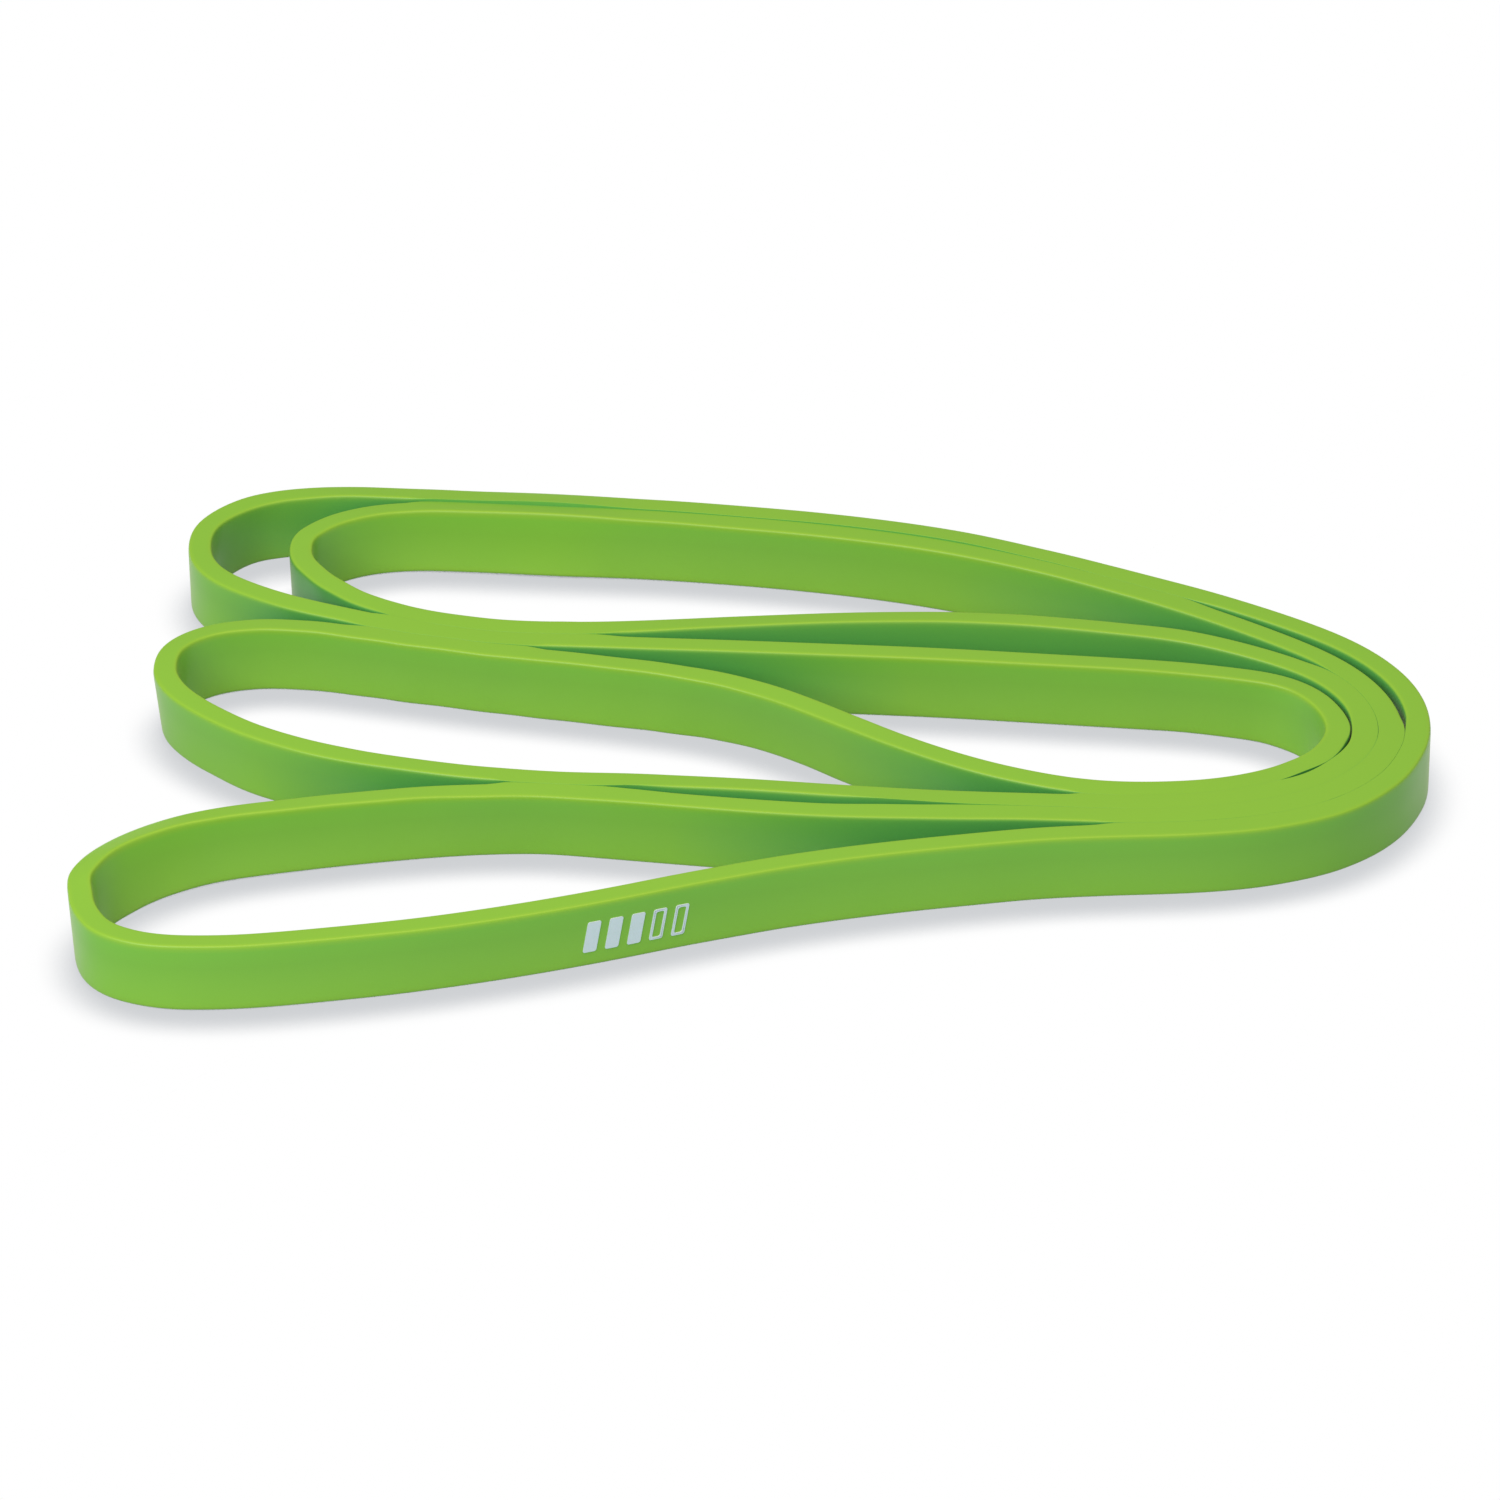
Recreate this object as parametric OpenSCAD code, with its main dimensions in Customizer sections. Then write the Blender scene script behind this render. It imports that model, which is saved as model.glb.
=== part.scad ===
// Loop resistance band: one endless flat band of moulded rubber. It stands on its edge,
// folded to and fro into eight runs, and a resistance mark is printed on its front run.
// Millimetres, +Z up. The origin is the middle of the footprint, on the surface below.

/* [Band] */
// Width of the flat band, which is its height as it stands on edge
band_w = 13; // [11:0.5:22]
// Thickness of the rubber
band_t = 4.5; // [2.5:0.1:4.5]
// From the middle of one run to the middle of the next where they lie together
run_pitch = 4.6; // [4.6:0.05:4.7]
// Straight facets in each stretch of the route
route_steps = 4; // [3:1:6]

/* [Resistance mark] */
// Bars in the printed mark
bar_count = 5; // [3:1:5]
// Bars printed solid, the rest being outlines
bars_solid = 3; // [1:1:5]
// Width of a bar along the band
bar_w = 2.5; // [2:0.1:3]
// Height of a bar
bar_h = 6.2; // [4:0.1:7]
// From one bar to the next
bar_pitch = 4.1; // [3.8:0.1:4.4]
// How far a bar's top leans forward of its foot
bar_slant = 1.2; // [0:0.1:1.6]
// Width of the line of an outlined bar
bar_line = 0.5; // [0.4:0.05:0.7]
// Thickness of the ink
ink_t = 0.12; // [0.08:0.01:0.2]

/* [Hidden] */

// Height of the middle of the mark, as a share of the band's width
mark_height = 0.48;
// Place of the mark's middle on the route, in control points: just past the fifth of front_run
mark_at = 27.2;

// Direction towards the inside of the fold, square to a line of points at point i
function inward(line, i) =
    let (d = line[min(i + 1, len(line) - 1)] - line[max(i - 1, 0)])
    [d.y, -d.x] / norm(d);

// Points beside a line from its point `first` on, backwards if step is -1. Each of `sides`
// says how many pitches towards the inside one point lies.
function beside(line, first, sides, step = 1) = [
    for (k = [0 : len(sides) - 1])
        let (i = first + k * step)
        line[i] + inward(line, i) * sides[k] * run_pitch
];

function same(count, side) = [for (k = [1 : count]) side];

// The line that the nested runs share: along the back, round the right end, along the front
nest = [
    [-59.5, 70], [-40, 68], [-20.5, 66.5], [-1, 64], [18.5, 60.5], [37, 55.5],
    [54.5, 48.5], [71, 40.5], [85.5, 32], [97, 24], [108, 15.5], [115, 5.5],
    [117.5, -4.5], [116.5, -13.5], [111.5, -22], [104, -29], [93.5, -33.5],
    [81, -36], [67, -36.5], [50.5, -35.5], [35, -35], [16.5, -34.5], [-1, -33],
    [-19.5, -30.5], [-37, -28], [-48, -27.5]
];

// The short line that three runs share at the left of the middle
middle = [[-67, 27.5], [-57.5, 25], [-48, 23]];

// The outermost run, from the back left corner to where it leaves the nest in front
back_run = concat(
    [[-99.5, 72.5], [-89.5, 75.5], [-79, 76], [-69, 75.5]],
    beside(nest, 0, concat(same(7, -1), [-1.03, -1.15, -1.35, -1.45, -1.4, -1.2])),
    beside(nest, 13, [-1.05, -1.03, -1.02, -1, -1, -1])
);
front_run = [
    [52.5, -42], [35, -44.5], [16.5, -48], [-1, -52.5], [-18.5, -59], [-36, -65],
    [-53.5, -70], [-71, -73.5], [-88.5, -76], [-100.5, -77]
];
front_fold = [
    [-111, -75.5], [-117.5, -70], [-120, -61.5], [-119.5, -54], [-114.5, -46.5],
    [-106.5, -40.5]
];

// The second run lies on the shared line and goes round it the other way
second_run = concat(
    [[-97.5, -36.5], [-82, -33], [-64.5, -29.5]],
    beside(nest, 25, same(26, 0), -1)
);
back_fold = [[-71, 70], [-79.5, 67], [-86.5, 62], [-89, 55.5], [-86.5, 48.5]];

// The third run, inside the second at the right end
third_run = concat(
    [[-80.5, 42], [-75, 37.5]],
    beside(middle, 0, same(3, -1)),
    [[-38, 27.5], [-25.5, 27.5], [-10, 29], [8.5, 30.5], [25.5, 31.5], [40, 31]],
    [[54.5, 29.5], [69, 26.5]],
    beside(nest, 8, [1.95, 1.42, 1.08, 1.03, 1.03, 1.04, 1.04, 1.03, 1.02, 1, 1, 1]),
    beside(nest, 20, [1.03, 1.3, 1.42, 1.25, 1]),
    [[-48.5, -22.5], [-64.5, -19.5], [-79, -15], [-91.5, -9.5]]
);
middle_fold = [
    [-101.5, -2], [-108.5, 5.5], [-111, 13], [-109, 20.5], [-103.5, 25.5],
    [-94.5, 28], [-84.5, 27.5], [-75.5, 26]
];

// The innermost run, an S through the middle, round the right end and back to the left
inner_run = concat(
    beside(middle, 0, same(3, 1)),
    [[-38, 17], [-27.5, 15], [-17.5, 12.5], [-8, 9.5], [1, 6], [9.5, 0.5]],
    [[17.5, -5.5], [27, -12], [36, -17.5], [46.5, -22.5], [57.5, -26]],
    beside(nest, 18, [2, 2, 2.02, 2.06, 2.15, 2.2, 2.21, 2.22, 2.4], -1),
    [[92.5, 10], [81, 12.5], [69, 14], [54.5, 15.5], [36, 17.5], [17.5, 19]],
    [[-1, 20.5], [-19.5, 21.5], [-34, 22.5]],
    beside(middle, 2, same(3, 0), -1),
    [[-77, 31.5], [-87.5, 35.5], [-97.5, 41]]
);
outer_fold = [[-104.5, 47], [-107.5, 55], [-106, 64]];

route = concat(
    back_run, front_run, front_fold, second_run, back_fold,
    third_run, middle_fold, inner_run, outer_fold
);
route_count = len(route);

// A smooth closed curve through the route, one cubic piece from each point to the next
function on_curve(a, b, c, d, u) = (
    pow(1 - u, 3) * a
    + (3 * pow(u, 3) - 6 * pow(u, 2) + 4) * b
    + (-3 * pow(u, 3) + 3 * pow(u, 2) + 3 * u + 1) * c
    + pow(u, 3) * d
) / 6;

// The point at place p, counted in control points
function at(p) =
    let (i = floor(p))
    on_curve(
        route[(i + route_count - 1) % route_count], route[i % route_count],
        route[(i + 1) % route_count], route[(i + 2) % route_count], p - i
    );

// Direction square to the band at place p, towards the outside of the whole loop
function outward(p) =
    let (d = at(p + 0.02) - at(p - 0.02 + route_count))
    [-d.y, d.x] / norm(d);

places = [for (k = [0 : route_count * route_steps - 1]) k / route_steps];

// The band's face in plan, moved out from its middle line by a distance
function face(away) = [for (p = places) at(p) + outward(p) * away];

outer_face = face(band_t / 2);
inner_face = face(-band_t / 2);
centre = [
    (max([for (p = outer_face) p.x]) + min([for (p = outer_face) p.x])) / 2,
    (max([for (p = outer_face) p.y]) + min([for (p = outer_face) p.y])) / 2
];

// The band, cut square at both edges
module loop_band() {
    color("yellowgreen")
        translate(-centre)
            linear_extrude(height = band_w)
                difference() {
                    polygon(outer_face);
                    polygon(inner_face);
                }
}

// A slanted bar around the origin, in from its true outline by a margin
module bar_outline(margin = 0) {
    half_w = bar_w / 2 - margin;
    half_h = bar_h / 2 - margin;
    lean = bar_slant / 2 * half_h / (bar_h / 2);
    polygon([
        [-half_w - lean, -half_h], [half_w - lean, -half_h],
        [half_w + lean, half_h], [-half_w + lean, half_h]
    ]);
}

// One bar of ink that stands on the outer face at place p
module bar_on_face(p, solid) {
    side = outward(p);
    spot = at(p) + side * band_t / 2 - centre;
    translate([spot.x, spot.y, band_w * mark_height])
        rotate([0, 0, atan2(side.x, -side.y)])
            rotate([90, 0, 0])
                linear_extrude(height = ink_t)
                    difference() {
                        bar_outline();
                        if (!solid)
                            bar_outline(bar_line);
                    }
}

// The row of bars, solid ones first as read from the front
module resistance_mark() {
    stretch = norm(at(mark_at + 0.5) - at(mark_at - 0.5));
    color("aliceblue")
        for (k = [0 : bar_count - 1])
            bar_on_face(
                mark_at - (k - (bar_count - 1) / 2) * bar_pitch / stretch,
                k < bars_solid
            );
}

loop_band();
resistance_mark();
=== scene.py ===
import math

import bmesh
import bpy
from mathutils import Matrix, Vector
from mathutils.geometry import intersect_point_line
from mathutils.kdtree import KDTree


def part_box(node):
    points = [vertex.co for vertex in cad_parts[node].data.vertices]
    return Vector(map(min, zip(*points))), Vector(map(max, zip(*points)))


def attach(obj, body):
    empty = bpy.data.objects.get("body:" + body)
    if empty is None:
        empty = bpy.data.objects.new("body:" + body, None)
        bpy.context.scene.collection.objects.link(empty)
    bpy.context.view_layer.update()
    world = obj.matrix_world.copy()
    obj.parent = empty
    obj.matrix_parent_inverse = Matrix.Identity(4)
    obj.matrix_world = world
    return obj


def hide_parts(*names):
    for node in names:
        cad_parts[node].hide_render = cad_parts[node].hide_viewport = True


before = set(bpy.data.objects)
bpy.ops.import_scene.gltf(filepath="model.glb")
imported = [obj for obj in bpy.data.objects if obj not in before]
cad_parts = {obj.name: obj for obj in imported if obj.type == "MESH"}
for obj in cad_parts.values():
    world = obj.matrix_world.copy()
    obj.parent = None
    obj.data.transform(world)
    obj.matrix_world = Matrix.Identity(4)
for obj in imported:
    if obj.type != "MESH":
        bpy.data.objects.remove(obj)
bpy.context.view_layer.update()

bpy.ops.object.select_all(action="DESELECT")
lowBand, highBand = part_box("loop_band")

# the camera stands in front, a little over a metre off
view = {
    "lookAt": (-0.0023, 0.0048, 0.0),
    "distance": 1.215,
    "elevation": 33.5,  # degrees above the floor
    "lens": 156,
    "sensor": 36,
}


def placeCamera(v):
    tilt = math.radians(v["elevation"])
    away = Vector((0, -math.cos(tilt), math.sin(tilt))) * v["distance"]
    bpy.ops.object.camera_add(
        location=Vector(v["lookAt"]) + away,
        rotation=(math.radians(90) - tilt, 0, 0),
    )
    camera = bpy.context.object
    camera.name = "studioCamera"
    camera.data.lens = v["lens"]
    camera.data.sensor_width = v["sensor"]
    camera.data.clip_start = 0.01
    bpy.context.scene.camera = camera


placeCamera(view)
print("camera placed")

# The band's route is in metres, seen from above, on the middle line of the rubber. Where
# runs lie against each other they share one line and stand a pitch apart.
mm = 0.001
pitch = 0.0046

nestLine = [
    (-0.0595, 0.070), (-0.040, 0.068), (-0.0205, 0.0665), (-0.001, 0.064),
    (0.0185, 0.0605), (0.037, 0.0555), (0.0545, 0.0485), (0.071, 0.0405),
    (0.0855, 0.032), (0.097, 0.024), (0.108, 0.0155), (0.115, 0.0055),
    (0.1175, -0.0045), (0.1165, -0.0135), (0.1115, -0.022), (0.104, -0.029),
    (0.0935, -0.0335), (0.081, -0.036), (0.067, -0.0365), (0.0505, -0.0355),
    (0.035, -0.035), (0.0165, -0.0345), (-0.001, -0.033), (-0.0195, -0.0305),
    (-0.037, -0.028), (-0.048, -0.0275),
]
middleLine = [(-0.067, 0.0275), (-0.0575, 0.025), (-0.048, 0.023)]


def beside(line, first, sides, step=1):
    # points beside a line from point first on, each so many pitches to the inside
    points = []
    for k, side in enumerate(sides):
        i = first + k * step
        before = Vector(line[max(i - 1, 0)])
        after = Vector(line[min(i + 1, len(line) - 1)])
        along = (after - before).normalized()
        points.append(Vector(line[i]) + Vector((along.y, -along.x)) * side * pitch)
    return points


def listed(*points):
    return [Vector(p) for p in points]


backRun = (
    listed((-0.0995, 0.0725), (-0.0895, 0.0755), (-0.079, 0.076), (-0.069, 0.0755))
    + beside(nestLine, 0, [-1] * 7 + [-1.03, -1.15, -1.35, -1.45, -1.4, -1.2])
    + beside(nestLine, 13, [-1.05, -1.03, -1.02, -1, -1, -1])
)
frontRun = listed(
    (0.0525, -0.042), (0.035, -0.0445), (0.0165, -0.048), (-0.001, -0.0525),
    (-0.0185, -0.059), (-0.036, -0.065), (-0.0535, -0.070), (-0.071, -0.0735),
    (-0.0885, -0.076), (-0.1005, -0.077),
)
frontFold = listed(
    (-0.111, -0.0755), (-0.1175, -0.070), (-0.120, -0.0615), (-0.1195, -0.054),
    (-0.1145, -0.0465), (-0.1065, -0.0405),
)
secondRun = (
    listed((-0.0975, -0.0365), (-0.082, -0.033), (-0.0645, -0.0295))
    + beside(nestLine, 25, [0] * 26, -1)
)
backFold = listed(
    (-0.071, 0.070), (-0.0795, 0.067), (-0.0865, 0.062), (-0.089, 0.0555),
    (-0.0865, 0.0485),
)
thirdRun = (
    listed((-0.0805, 0.042), (-0.075, 0.0375))
    + beside(middleLine, 0, [-1] * 3)
    + listed(
        (-0.038, 0.0275), (-0.0255, 0.0275), (-0.010, 0.029), (0.0085, 0.0305),
        (0.0255, 0.0315), (0.040, 0.031), (0.0545, 0.0295), (0.069, 0.0265),
    )
    + beside(nestLine, 8, [1.95, 1.42, 1.08, 1.03, 1.03, 1.04, 1.04, 1.03, 1.02])
    + beside(nestLine, 17, [1, 1, 1, 1.03, 1.3, 1.42, 1.25, 1])
    + listed((-0.0485, -0.0225), (-0.0645, -0.0195), (-0.079, -0.015), (-0.0915, -0.0095))
)
middleFold = listed(
    (-0.1015, -0.002), (-0.1085, 0.0055), (-0.111, 0.013), (-0.109, 0.0205),
    (-0.1035, 0.0255), (-0.0945, 0.028), (-0.0845, 0.0275), (-0.0755, 0.026),
)
innerRun = (
    beside(middleLine, 0, [1] * 3)
    + listed(
        (-0.038, 0.017), (-0.0275, 0.015), (-0.0175, 0.0125), (-0.008, 0.0095),
        (0.001, 0.006), (0.0095, 0.0005), (0.0175, -0.0055), (0.027, -0.012),
        (0.036, -0.0175), (0.0465, -0.0225), (0.0575, -0.026),
    )
    + beside(nestLine, 18, [2, 2, 2.02, 2.06, 2.15, 2.2, 2.21, 2.22, 2.4], -1)
    + listed(
        (0.0925, 0.010), (0.081, 0.0125), (0.069, 0.014), (0.0545, 0.0155),
        (0.036, 0.0175), (0.0175, 0.019), (-0.001, 0.0205), (-0.0195, 0.0215),
        (-0.034, 0.0225),
    )
    + beside(middleLine, 2, [0] * 3, -1)
    + listed((-0.077, 0.0315), (-0.0875, 0.0355), (-0.0975, 0.041))
)
outerFold = listed((-0.1045, 0.047), (-0.1075, 0.055), (-0.106, 0.064))

route = (
    backRun + frontRun + frontFold + secondRun + backFold
    + thirdRun + middleFold + innerRun + outerFold
)


def onRoute(place):
    # the point at a place counted in route points, on a smooth closed curve
    i = math.floor(place)
    u = place - i
    a, b, c, d = (route[(i + k) % len(route)] for k in (-1, 0, 1, 2))
    return (
        (1 - u) ** 3 * a
        + (3 * u ** 3 - 6 * u ** 2 + 4) * b
        + (-3 * u ** 3 + 3 * u ** 2 + 3 * u + 1) * c
        + u ** 3 * d
    ) / 6


def outward(place, nudge=0.02):
    # square to the band, towards the outside of the whole loop
    along = onRoute(place + nudge) - onRoute(place - nudge)
    return Vector((-along.y, along.x)).normalized()


band = {
    "width": highBand.z - lowBand.z,
    "thickness": 0.0045,
    "stepsPerPoint": 8,
    "cornerIn": 0.0010,  # how far the soft corner reaches over the edge face
    "cornerDown": 0.0015,  # and down the side face
    "cornerPower": 4.5,  # 2 is a plain round, more is squarer
    "cornerSteps": 8,
    "sideSteps": 4,
    "edgeSteps": 2,
    "touching": (0.0003, 0.0009),  # runs press flat below the first gap, not at all past the second
    "pressedCorner": 0.12,  # what is left of the soft corner there
    "gapSearch": 0.0035,  # how far off a face still looks for the next run
    "ownStretch": 3,  # route points along which a face takes no notice of itself
    "overrun": 0.1,  # share of a step past its ends where a gap still counts
    # how the rubber settles: a route point, then how many millimetres its top edge and its
    # foot stand outward of the line there
    "settled": [
        (0, 0, 0.4), (1, 0.2, -0.2), (2, 0.4, -1), (3, 0.2, -1), (4, 0.4, -0.9), (5, 1.1, -1),
        (6, 0.4, -0.4), (7, 0.2, -0.4), (8, 0.3, -0.7), (9, 0.4, -0.7), (10, -0.1, -0.5),
        (11, -0.4, -0.2), (12, 0, 0), (14, -0.1, 0), (16, 0.1, 0.3), (17, 0.2, 0.6), (18, 0.6, 0.8),
        (19, 0.7, 0.5), (20, 0.4, 0.3), (21, 0.1, 0.2), (23, 0, 0.3), (24, 0.2, 0.7),
        (25, 0.2, 0.8), (26, 0.2, 0.7), (27, -0.1, 0.3), (29, -0.4, 0.1), (30, -0.5, 0.4),
        (31, -0.4, 0.7), (32, -0.7, 0.6), (33, -0.7, 0), (34, -0.2, 0), (35, 0.2, -0.3),
        (36, 1.3, -1), (37, 1.7, -2.1), (38, 1.4, -1.7), (39, 1, -1), (40, 0.6, -0.9),
        (41, 0.2, -0.9), (42, -0.4, -0.5), (43, -0.2, -0.1), (44, -0.1, -0.4), (46, -0.5, -0.6),
        (47, -0.4, -0.4), (48, -0.1, -0.2), (50, -0.2, 0), (52, -0.4, 0), (53, -0.7, 0),
        (54, -0.4, 0), (56, 0, 0), (60, -0.1, 0), (61, -0.3, 0.2), (62, -0.3, 0.3), (63, -0.2, 0.3),
        (64, -0.2, 0.3), (65, -0.5, 0.6), (66, -1, 1.8), (67, -0.6, 1.5), (68, -0.4, 1.1),
        (69, -0.3, 0.8), (70, 0.2, 0.8), (71, 0.8, 1), (72, 0.5, 1), (73, -0.1, 0.9),
        (74, -0.5, 0.3), (75, -0.2, 0), (76, -0.4, 0), (77, -0.5, -0.1), (78, -0.7, -0.4),
        (79, -0.6, -1.2), (80, -0.6, -2), (81, -0.6, -2.3), (82, -0.7, -2.3), (83, -0.5, -1.9),
        (84, -0.3, -1.4), (85, -0.1, -0.7), (86, 0, 0), (90, 0, 0), (92, 0.5, 0), (93, 0.5, 0),
        (95, 0.3, 0), (97, 0.3, 0.4), (98, 0.2, 0.9), (99, 0, 1.3), (100, -0.1, 1.2), (101, 0.1, 1),
        (102, 0.7, 0.8), (103, 0.4, 0.8), (104, 0.2, 0.6), (105, 0.4, 0), (106, 0.1, 0),
        (107, 0, -0.6), (108, 0, -0.8), (109, 0.1, -1), (110, 0.6, -0.9), (111, 0.5, -0.9),
        (112, 0.3, -0.8), (113, 0, -0.9), (114, -0.4, -0.9), (115, 0.2, -0.2), (116, 0.6, 0.3),
        (117, 0.3, 0.1), (118, 0, -0.6), (119, -0.1, -0.8), (120, 0.2, -0.2), (121, 0.2, 0.6),
        (122, -0.2, 0.8), (123, -0.2, 0.8), (124, -0.2, 0.5), (125, -0.3, 0), (127, -0.5, 0),
        (129, -0.8, 0), (130, -0.8, 0), (132, 0.1, 0), (133, -0.5, 0), (134, -0.3, 0),
        (136, 0, 0.4), (137, 0, 1.2), (138, -0.2, 0.5), (139, -0.2, 0.3), (140, -0.2, 0.7),
        (142, -0.1, 0.5), (144, 0.2, 0.7), (146, 0.2, 0.6), (148, 0, 0), (150, 0.2, -0.5),
        (151, 0.3, -0.8), (152, 0.1, -0.6), (153, 0, -0.2), (154, 0, 0), (155, 0.5, 0.3),
        (156, 0, 0.4),
    ],
}
places = [k / band["stepsPerPoint"] for k in range(len(route) * band["stepsPerPoint"])]
faceLine = [onRoute(p) + outward(p) * band["thickness"] / 2 for p in places]
centre = Vector((
    (max(p.x for p in faceLine) + min(p.x for p in faceLine)) / 2,
    (max(p.y for p in faceLine) + min(p.y for p in faceLine)) / 2,
))


def eased(value, low, high):
    # 0 up to low, 1 from high on, and smooth between
    t = min(max((value - low) / (high - low), 0), 1)
    return t * t * (3 - 2 * t)


def settledAt(b, place):
    # how far the top edge and the foot stand outward, in metres
    for (first, *one), (last, *two) in zip(b["settled"], b["settled"][1:]):
        if first <= place <= last:
            t = eased(place, first, last)
            return [(u + (v - u) * t) * mm for u, v in zip(one, two)]


def gapsBeside(b, level):
    # the gap from each face of the band to the next run, at its top (0) or its foot (1)
    faces = {
        sign: [
            onRoute(p) + outward(p) * (sign * b["thickness"] / 2 + settledAt(b, p)[level])
            for p in places
        ]
        for sign in (1, -1)
    }
    count = len(places)
    ownSteps = b["ownStretch"] * b["stepsPerPoint"]
    tree = KDTree(2 * count)
    for sign, points in faces.items():
        for k, point in enumerate(points):
            tree.insert((*point, 0), k if sign == 1 else count + k)
    tree.balance()
    gaps = {1: [], -1: []}
    for sign, points in faces.items():
        for k, point in enumerate(points):
            side = outward(places[k]) * sign
            gap = b["thickness"]
            for spot, index, distance in tree.find_range((*point, 0), b["gapSearch"]):
                otherSign, other = (1, index) if index < count else (-1, index - count)
                apart = abs(other - k)
                if otherSign == sign and min(apart, count - apart) < ownSteps:
                    continue
                line = faces[otherSign]
                for end in (other - 1, (other + 1) % count):
                    near, part = intersect_point_line(point, line[other], line[end])
                    if -b["overrun"] <= part <= 1 + b["overrun"]:
                        gap = min(gap, (near.to_2d() - point).dot(side))
            gaps[sign].append(gap)
    return gaps


def bandSection(b, outer, inner):
    # (across, up, how near a corner) points round the section, which stands on its edge;
    # outer and inner scale the soft corners on its two sides
    halfT, halfW = b["thickness"] / 2, b["width"] / 2

    def corner(scale):
        points = []
        for k in range(b["cornerSteps"] + 1):
            s = math.radians(90) * k / b["cornerSteps"]
            inward = b["cornerIn"] * scale * (1 - math.cos(s) ** (2 / b["cornerPower"]))
            downward = b["cornerDown"] * scale * (1 - math.sin(s) ** (2 / b["cornerPower"]))
            points.append((halfT - inward, halfW - downward, scale * math.sin(2 * s)))
        return points

    def sideLine(scale):
        top = halfW - b["cornerDown"] * scale
        return [(halfT, top * (2 * k / b["sideSteps"] - 1), 0) for k in range(1, b["sideSteps"])]

    right, left = halfT - b["cornerIn"] * outer, halfT - b["cornerIn"] * inner
    edge = [
        (right - (right + left) * k / b["edgeSteps"], halfW, 0) for k in range(1, b["edgeSteps"])
    ]
    # up the outer side, over the top, down the inner side and under the foot
    points = sideLine(outer) + corner(outer) + edge
    points += [(-x, z, c) for x, z, c in reversed(corner(inner))]
    points += [(-x, z, c) for x, z, c in reversed(sideLine(inner))]
    points += [(-x, -z, c) for x, z, c in corner(inner)]
    points += [(x, -z, c) for x, z, c in reversed(edge)]
    points += [(x, -z, c) for x, z, c in reversed(corner(outer))]
    return points


def bandRing(b, k, gaps):
    # (outward, up, how near a corner) points of the settled section at step k
    def meeting(sign, level):
        # how far a face swells or is pressed in to meet the next run
        gap = gaps[level][sign][k]
        return gap / 2 * (1 - eased(gap, *b["touching"]))

    def softness(sign):
        near = min(gaps[0][sign][k], gaps[1][sign][k])
        return b["pressedCorner"] + (1 - b["pressedCorner"]) * eased(near, *b["touching"])

    top, foot = settledAt(b, places[k])
    tilt = math.asin((top - foot) / b["width"])
    wholeFrom = b["thickness"] / 4  # from here outwards a point moves the whole way
    ring = []
    for across, up, near in bandSection(b, softness(1), softness(-1)):
        sign = 1 if across > 0 else -1
        high = up / b["width"] + 0.5
        meet = meeting(sign, 0) * high + meeting(sign, 1) * (1 - high)
        across += sign * meet * min(abs(across) / wholeFrom, 1)
        ring.append((
            (top + foot) / 2 + across * math.cos(tilt) + up * math.sin(tilt),
            up * math.cos(tilt) - across * math.sin(tilt), near,
        ))
    lift = -min(up for out, up, near in ring)
    return [(out, up + lift, near) for out, up, near in ring]


def makeBand(b):
    gaps = [gapsBeside(b, level) for level in (0, 1)]
    mesh = bpy.data.meshes.new("loopBand")
    bm = bmesh.new()
    nearCorner = bm.verts.layers.float.new("nearCorner")
    rings = []
    lengths = [0.0]
    for k, place in enumerate(places):
        middle, side = onRoute(place) - centre, outward(place)
        ring = []
        for out, up, near in bandRing(b, k, gaps):
            spot = middle + side * out
            vert = bm.verts.new((spot.x, spot.y, lowBand.z + up))
            vert[nearCorner] = near
            ring.append(vert)
        rings.append(ring)
        following = onRoute(place + 1 / b["stepsPerPoint"])
        lengths.append(lengths[-1] + (following - onRoute(place)).length)
    section = [Vector(point[:2]) for point in bandSection(b, 1, 1)]
    around = [0.0]
    for k, point in enumerate(section):
        around.append(around[-1] + (section[(k + 1) % len(section)] - point).length)
    uv = bm.loops.layers.uv.new("alongBand")
    for r, ring in enumerate(rings):
        following = rings[(r + 1) % len(rings)]
        for k in range(len(section)):
            n = (k + 1) % len(section)
            face = bm.faces.new((ring[k], following[k], following[n], ring[n]))
            face.smooth = True
            spots = ((r, k), (r + 1, k), (r + 1, k + 1), (r, k + 1))
            for loop, (i, j) in zip(face.loops, spots):
                loop[uv].uv = (lengths[i], around[j])
    bmesh.ops.recalc_face_normals(bm, faces=bm.faces)
    bm.to_mesh(mesh)
    bm.free()
    piece = bpy.data.objects.new("loopBand", mesh)
    bpy.context.scene.collection.objects.link(piece)
    return piece, lengths[-1]


loopBand, bandLength = makeBand(band)
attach(loopBand, "root")
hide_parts("loop_band")
print("band made,", round(bandLength, 3), "m round")

# five slanted bars of ink stand for the band's strength
mark = {
    "bars": 5,
    "solid": 3,
    "width": 0.0025,
    "height": 0.0062,
    "pitch": 0.0041,
    "slant": 0.0012,
    "line": 0.0005,
    "ink": 0.00012,
    "corner": 0.0004,
    "at": 27.2,  # place of its middle on the route
    "up": 0.48,  # share of the band's width
}


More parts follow.
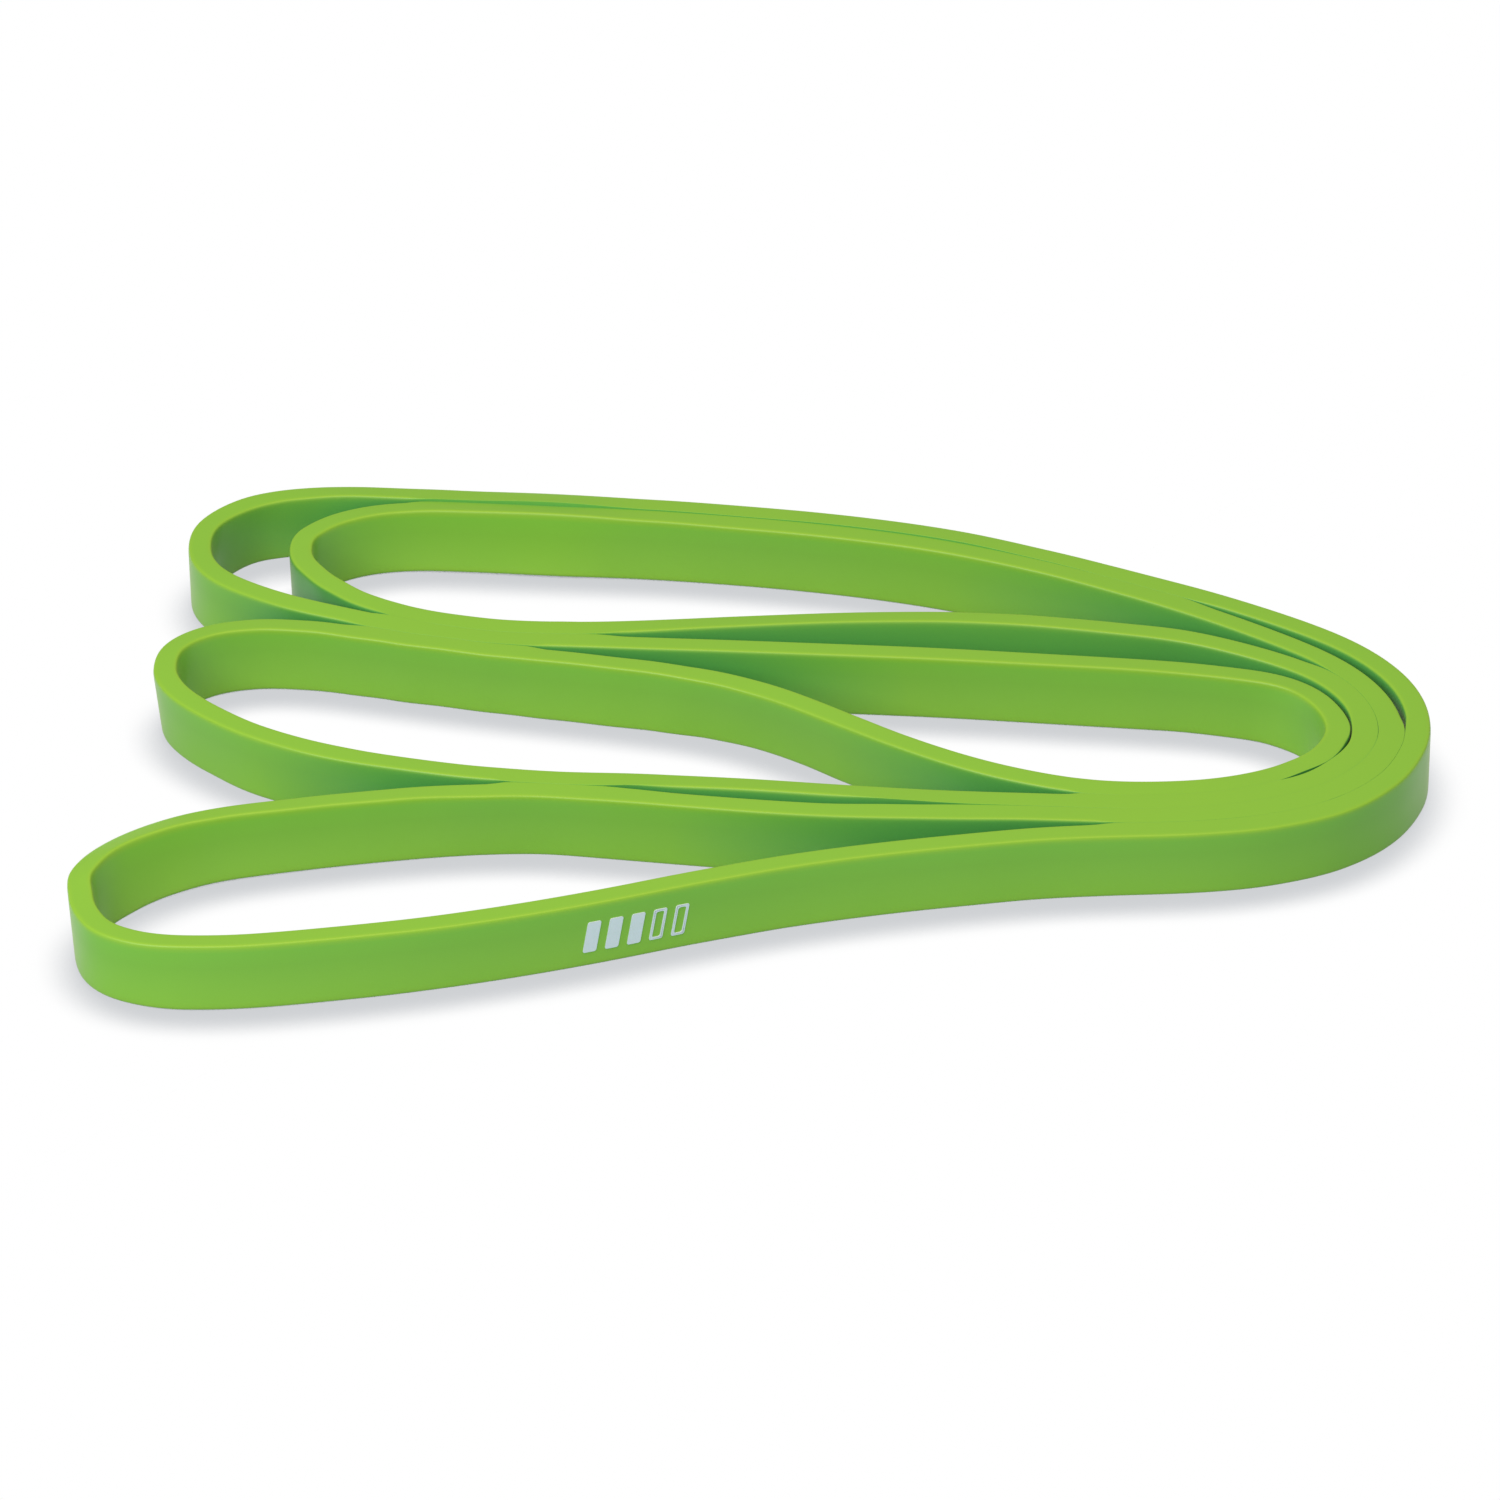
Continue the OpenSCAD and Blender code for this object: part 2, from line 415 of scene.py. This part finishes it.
def makeBar(m, place, solid, name):
    bpy.ops.mesh.primitive_plane_add(size=1, location=(0, 0, 0))
    bar = bpy.context.object
    bar.name = bar.data.name = name
    for v in bar.data.vertices:
        up = v.co.y * m["height"]
        v.co = (v.co.x * m["width"] + up * m["slant"] / m["height"], up, 0)
    bpy.ops.object.mode_set(mode="EDIT")
    bpy.ops.mesh.select_all(action="SELECT")
    if not solid:
        bpy.ops.mesh.inset(thickness=m["line"])
        bpy.ops.mesh.delete(type="FACE")
    bpy.ops.mesh.select_all(action="SELECT")
    bpy.ops.mesh.bevel(offset=m["corner"], segments=4, affect="VERTICES")
    bpy.ops.mesh.select_all(action="SELECT")
    bpy.ops.mesh.extrude_region_move(TRANSFORM_OT_translate={"value": (0, 0, m["ink"])})
    bpy.ops.mesh.select_all(action="SELECT")
    bpy.ops.mesh.normals_make_consistent(inside=False)
    bpy.ops.object.mode_set(mode="OBJECT")
    side = outward(place)
    top, foot = settledAt(band, place)
    tilt = math.asin((top - foot) / band["width"])
    out = foot + (top - foot) * m["up"] + band["thickness"] / 2 / math.cos(tilt)
    spot = onRoute(place) + side * out - centre
    upright = Matrix.Rotation(math.radians(90) + tilt, 4, "X")
    turn = Matrix.Rotation(math.atan2(side.x, -side.y), 4, "Z")
    move = Matrix.Translation((spot.x, spot.y, lowBand.z + band["width"] * m["up"]))
    bar.data.transform(move @ turn @ upright)
    return bar


stretch = (onRoute(mark["at"] + 0.5) - onRoute(mark["at"] - 0.5)).length
bars = []
for k in range(mark["bars"]):
    place = mark["at"] - (k - (mark["bars"] - 1) / 2) * mark["pitch"] / stretch
    bars.append(makeBar(mark, place, k < mark["solid"], f"markBar{k + 1}"))
bpy.ops.object.select_all(action="DESELECT")
for bar in bars:
    bar.select_set(True)
bpy.context.view_layer.objects.active = bars[0]
bpy.ops.object.join()
resistanceMark = bpy.context.object
resistanceMark.name = resistanceMark.data.name = "resistanceMark"
bpy.ops.object.select_all(action="DESELECT")
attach(resistanceMark, "root")
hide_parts("resistance_mark")
print("mark made")


def newMaterial(name):
    material = bpy.data.materials.new(name)
    material.use_nodes = True
    return material, material.node_tree, material.node_tree.nodes["Principled BSDF"]


def addNode(tree, kind, settings=None, **inputs):
    # a node whose inputs are plain values or other nodes' outputs; _0 is its first input
    node = tree.nodes.new(kind)
    for name, value in (settings or {}).items():
        setattr(node, name, value)
    for name, value in inputs.items():
        number = name[1:]
        socket = node.inputs[int(number) if number.isdigit() else name.replace("_", " ")]
        if isinstance(value, bpy.types.NodeSocket):
            tree.links.new(value, socket)
        else:
            socket.default_value = value
    return node


def scaled(tree, value, low, high):
    # a 0 to 1 value brought to the range low to high
    node = addNode(tree, "ShaderNodeMapRange", {"clamp": True}, Value=value, To_Min=low, To_Max=high)
    return node.outputs["Result"]


def surfaceGrain():
    # soft mottling and a fine grain, shared by the rubber and the ink
    group = bpy.data.node_groups.new("surfaceGrain", "ShaderNodeTree")
    for name, default in (("Mottle Scale", 60), ("Grain Scale", 1500)):
        socket = group.interface.new_socket(name, in_out="INPUT", socket_type="NodeSocketFloat")
        socket.default_value = default
    group.interface.new_socket("Vector", in_out="INPUT", socket_type="NodeSocketVector")
    for name in ("Mottle", "Grain"):
        group.interface.new_socket(name, in_out="OUTPUT", socket_type="NodeSocketFloat")
    given = group.nodes.new("NodeGroupInput")
    result = group.nodes.new("NodeGroupOutput")
    mottle = addNode(
        group, "ShaderNodeTexNoise", Vector=given.outputs["Vector"],
        Scale=given.outputs["Mottle Scale"], Detail=4.0, Roughness=0.55,
    )
    grain = addNode(
        group, "ShaderNodeTexNoise", Vector=given.outputs["Vector"],
        Scale=given.outputs["Grain Scale"], Detail=3.0, Roughness=0.6,
    )
    group.links.new(mottle.outputs["Fac"], result.inputs["Mottle"])
    group.links.new(grain.outputs["Fac"], result.inputs["Grain"])
    return group


grainGroup = surfaceGrain()

rubber = {
    # share of the width above the foot, and the colour there: painted light, paler towards the foot
    # as if the floor shone in, and paler again towards the top
    "colours": [
        (0.0, (0.360, 0.605, 0.049, 1)), (0.68, (0.268, 0.524, 0.044, 1)),
        (0.92, (0.262, 0.545, 0.046, 1)), (1.0, (0.312, 0.548, 0.043, 1)),
    ],
    "mottled": (0.275, 0.535, 0.040, 1),  # faint patches of the cure
    "patches": (-0.2, 0.5),  # share of that colour where the noise is 0 and where it is 1
    "paintedHighlight": (0.390, 0.570, 0.034, 1),  # along the corners, a painted highlight
    "paintedHighlightShare": 0.6,  # share of the painted highlight at the middle of a corner
    "paintedShade": (0.120, 0.430, 0.090, 1),  # painted shade where runs close in on each other
    "deepReach": 0.021,
    "deepFrom": 0.30,
    "deepTo": 0.98,
    "roughness": (0.30, 0.42),
    "ior": 1.45,
    "sheen": 0.20,
    "sheenRoughness": 0.30,
    "sheenTint": (1.0, 0.78, 0.35, 1),
    "mottleScale": 55,
    "grainScale": 1400,
    "grainHeight": 0.00001,
    "lineScale": 900,  # moulding lines to the metre round the section
    "lineHeight": 0.000012,
}


def bandRubber(r):
    material, tree, shader = newMaterial("bandRubber")
    here = addNode(tree, "ShaderNodeTexCoord").outputs["Object"]
    grain = addNode(tree, "ShaderNodeGroup", {"node_tree": grainGroup}, Vector=here)
    grain.inputs["Mottle Scale"].default_value = r["mottleScale"]
    grain.inputs["Grain Scale"].default_value = r["grainScale"]
    # lines that the mould leaves along the band, fading in and out
    spread = addNode(tree, "ShaderNodeUVMap", {"uv_map": "alongBand"}).outputs["UV"]
    around = addNode(tree, "ShaderNodeSeparateXYZ", Vector=spread).outputs["Y"]
    lines = addNode(
        tree, "ShaderNodeTexNoise", {"noise_dimensions": "1D"},
        W=around, Scale=r["lineScale"], Detail=2.0,
    )
    faded = addNode(
        tree, "ShaderNodeMath", {"operation": "MULTIPLY"},
        _0=lines.outputs["Fac"], _1=grain.outputs["Mottle"],
    )
    # colour: painted light by height, patches, a painted highlight along the corners, then painted
    # shade between runs
    height = addNode(
        tree, "ShaderNodeMapRange", From_Min=lowBand.z, From_Max=highBand.z,
        Value=addNode(tree, "ShaderNodeSeparateXYZ", Vector=here).outputs["Z"],
    )
    paintedLightRamp = addNode(tree, "ShaderNodeValToRGB", Fac=height.outputs["Result"])
    stops = paintedLightRamp.color_ramp.elements
    for share, colour in r["colours"][1:-1]:
        stops.new(share)
    for stop, (share, colour) in zip(stops, r["colours"]):
        stop.position, stop.color = share, colour
    patchy = addNode(
        tree, "ShaderNodeMix", {"data_type": "RGBA"}, A=paintedLightRamp.outputs["Color"], B=r["mottled"],
        Factor=scaled(tree, grain.outputs["Mottle"], *r["patches"]),
    )
    # a painted highlight along the corners, strongest at the middle of each corner
    corner = addNode(tree, "ShaderNodeAttribute", {"attribute_name": "nearCorner"})
    paintedHighlightShare = scaled(tree, corner.outputs["Fac"], 0, r["paintedHighlightShare"])
    paintedHighlight = addNode(
        tree, "ShaderNodeMix", {"data_type": "RGBA"},
        A=patchy.outputs["Result"], B=r["paintedHighlight"], Factor=paintedHighlightShare,
    )
    # painted shade: darker and bluer where ambient occlusion finds other runs close by
    closeness = addNode(
        tree, "ShaderNodeAmbientOcclusion", {"samples": 8, "only_local": True},
        Distance=r["deepReach"],
    )
    openness = addNode(
        tree, "ShaderNodeMapRange", {"interpolation_type": "SMOOTHSTEP"},
        Value=closeness.outputs["AO"], From_Min=r["deepFrom"], From_Max=r["deepTo"],
    )
    shaded = addNode(
        tree, "ShaderNodeMix", {"data_type": "RGBA"},
        A=r["paintedShade"], B=paintedHighlight.outputs["Result"], Factor=openness.outputs["Result"],
    )
    tree.links.new(shaded.outputs["Result"], shader.inputs["Base Color"])
    rough = scaled(tree, grain.outputs["Mottle"], *r["roughness"])
    tree.links.new(rough, shader.inputs["Roughness"])
    raised = addNode(
        tree, "ShaderNodeBump", Height=grain.outputs["Grain"], Distance=r["grainHeight"],
    )
    lined = addNode(
        tree, "ShaderNodeBump", Height=faded.outputs["Value"],
        Distance=r["lineHeight"], Normal=raised.outputs["Normal"],
    )
    tree.links.new(lined.outputs["Normal"], shader.inputs["Normal"])
    shader.inputs["IOR"].default_value = r["ior"]
    shader.inputs["Sheen Weight"].default_value = r["sheen"]
    shader.inputs["Sheen Roughness"].default_value = r["sheenRoughness"]
    shader.inputs["Sheen Tint"].default_value = r["sheenTint"]
    return material


ink = {
    "colour": (0.96, 0.86, 0.88, 1),
    "thin": (0.88, 0.84, 0.79, 1),  # where the ink went on thinly
    "thinning": (-0.9, 1.1),  # share of that colour where the noise is 0 and where it is 1
    "roughness": (0.50, 0.68),
    "mottleScale": 700,
    "grainScale": 3500,
    "grainHeight": 0.00002,
}


def markInk(n):
    material, tree, shader = newMaterial("markInk")
    here = addNode(tree, "ShaderNodeTexCoord").outputs["Object"]
    grain = addNode(tree, "ShaderNodeGroup", {"node_tree": grainGroup}, Vector=here)
    grain.inputs["Mottle Scale"].default_value = n["mottleScale"]
    grain.inputs["Grain Scale"].default_value = n["grainScale"]
    tone = addNode(
        tree, "ShaderNodeMix", {"data_type": "RGBA"}, A=n["colour"], B=n["thin"],
        Factor=scaled(tree, grain.outputs["Mottle"], *n["thinning"]),
    )
    tree.links.new(tone.outputs["Result"], shader.inputs["Base Color"])
    tree.links.new(scaled(tree, grain.outputs["Grain"], *n["roughness"]), shader.inputs["Roughness"])
    raised = addNode(
        tree, "ShaderNodeBump", Height=grain.outputs["Grain"], Distance=n["grainHeight"],
    )
    tree.links.new(raised.outputs["Normal"], shader.inputs["Normal"])
    return material


loopBand.data.materials.append(bandRubber(rubber))
resistanceMark.data.materials.clear()
resistanceMark.data.materials.append(markInk(ink))
print("materials made")

studio = {
    "floorSize": 6.0,
    "floorBounce": (0.27, 0.43, 0.46, 1),  # what the floor throws back on the band
    "shadowColour": (0.62, 0.635, 0.655, 1),  # painted shadow right against the band's foot
    "shadowReach": 0.0105,
    "shadowLean": (0, 0.75, 1),  # the painted soft shadow falls to the front
    "shadowFrom": 0.40,
    "shadowTo": 0.92,
    "paintedGapShade": (0.02, 0.05, 0.01, 1),  # painted shade on the floor between runs that nearly touch
    "gapReach": 0.006,
    "gapFrom": 0.03,
    "gapTo": 0.13,
    "sky": (0.60, 1.0, 1.10, 1),
    "skyStrength": 0.47,
    "mirroredSky": (0.30, 0.40, 0.18, 1),  # the warmer room that shines on the rubber
    # name, place, size, colour and strength in W of each lamp, all aimed at the band's middle
    "lamps": [
        ("keyFrontLeft", (-0.42, -0.55, 0.66), 0.65, (0.85, 1.0, 1.05), 4.9),
        ("overhead", (0.0, -0.12, 0.70), 0.50, (1.75, 1.0, 0.55), 1.1),
    ],
}


def makeFloor(s):
    bpy.ops.mesh.primitive_plane_add(size=s["floorSize"], location=(0, 0, lowBand.z))
    floor = bpy.context.object
    floor.name = "studioFloor"
    material = bpy.data.materials.new("paleFloor")
    material.use_nodes = True
    material.cycles.emission_sampling = "NONE"
    tree = material.node_tree
    nodes, links = tree.nodes, tree.links
    nodes.clear()
    # the floor glows for the camera and in reflections, with a painted soft shadow worked out from
    # how close the band is; other light finds a plain diffuse floor
    lean = nodes.new("ShaderNodeNormal")
    lean.outputs["Normal"].default_value = Vector(s["shadowLean"]).normalized()
    near = addNode(
        tree, "ShaderNodeAmbientOcclusion", {"samples": 16},
        Distance=s["shadowReach"], Normal=lean.outputs["Normal"],
    )
    faded = addNode(
        tree, "ShaderNodeMapRange", {"interpolation_type": "SMOOTHSTEP"},
        Value=near.outputs["AO"], From_Min=s["shadowFrom"], From_Max=s["shadowTo"],
    )
    shadow = addNode(
        tree, "ShaderNodeMix", {"data_type": "RGBA"},
        A=s["shadowColour"], B=(1, 1, 1, 1), Factor=faded.outputs["Result"],
    )
    # painted shade: near black on the floor where runs nearly touch
    between = addNode(
        tree, "ShaderNodeAmbientOcclusion", {"samples": 8}, Distance=s["gapReach"],
    )
    opened = addNode(
        tree, "ShaderNodeMapRange", {"interpolation_type": "SMOOTHSTEP"},
        Value=between.outputs["AO"], From_Min=s["gapFrom"], From_Max=s["gapTo"],
    )
    tone = addNode(
        tree, "ShaderNodeMix", {"data_type": "RGBA"},
        A=s["paintedGapShade"], B=shadow.outputs["Result"], Factor=opened.outputs["Result"],
    )
    seen = addNode(tree, "ShaderNodeEmission", Color=tone.outputs["Result"])
    bounce = nodes.new("ShaderNodeBsdfDiffuse")
    bounce.inputs["Color"].default_value = s["floorBounce"]
    ray = nodes.new("ShaderNodeLightPath")
    either = nodes.new("ShaderNodeMath")
    either.operation = "MAXIMUM"
    links.new(ray.outputs["Is Camera Ray"], either.inputs[0])
    links.new(ray.outputs["Is Glossy Ray"], either.inputs[1])
    both = nodes.new("ShaderNodeMixShader")
    links.new(either.outputs["Value"], both.inputs["Fac"])
    links.new(bounce.outputs["BSDF"], both.inputs[1])
    links.new(seen.outputs["Emission"], both.inputs[2])
    out = nodes.new("ShaderNodeOutputMaterial")
    links.new(both.outputs["Shader"], out.inputs["Surface"])
    floor.data.materials.append(material)


def lightStudio(s):
    world = bpy.data.worlds.new("paleSky")
    bpy.context.scene.world = world
    world.use_nodes = True
    nodes, links = world.node_tree.nodes, world.node_tree.links
    nodes.clear()
    light = nodes.new("ShaderNodeBackground")
    light.inputs["Color"].default_value = s["sky"]
    light.inputs["Strength"].default_value = s["skyStrength"]
    mirrored = nodes.new("ShaderNodeBackground")
    mirrored.inputs["Color"].default_value = s["mirroredSky"]
    seen = nodes.new("ShaderNodeBackground")
    seen.inputs["Color"].default_value = (1, 1, 1, 1)
    ray = nodes.new("ShaderNodeLightPath")
    lit = nodes.new("ShaderNodeMixShader")
    links.new(ray.outputs["Is Glossy Ray"], lit.inputs["Fac"])
    links.new(light.outputs["Background"], lit.inputs[1])
    links.new(mirrored.outputs["Background"], lit.inputs[2])
    both = nodes.new("ShaderNodeMixShader")
    links.new(ray.outputs["Is Camera Ray"], both.inputs["Fac"])
    links.new(lit.outputs["Shader"], both.inputs[1])
    links.new(seen.outputs["Background"], both.inputs[2])
    out = nodes.new("ShaderNodeOutputWorld")
    links.new(both.outputs["Shader"], out.inputs["Surface"])
    for name, place, size, colour, power in s["lamps"]:
        aim = (-Vector(place)).to_track_quat("-Z", "Y").to_euler()
        bpy.ops.object.light_add(type="AREA", location=place, rotation=aim)
        lamp = bpy.context.object
        lamp.name = lamp.data.name = name
        lamp.data.size = size
        lamp.data.color = colour
        lamp.data.energy = power


makeFloor(studio)
lightStudio(studio)
bpy.context.scene.view_settings.view_transform = "Standard"
print("studio lit")
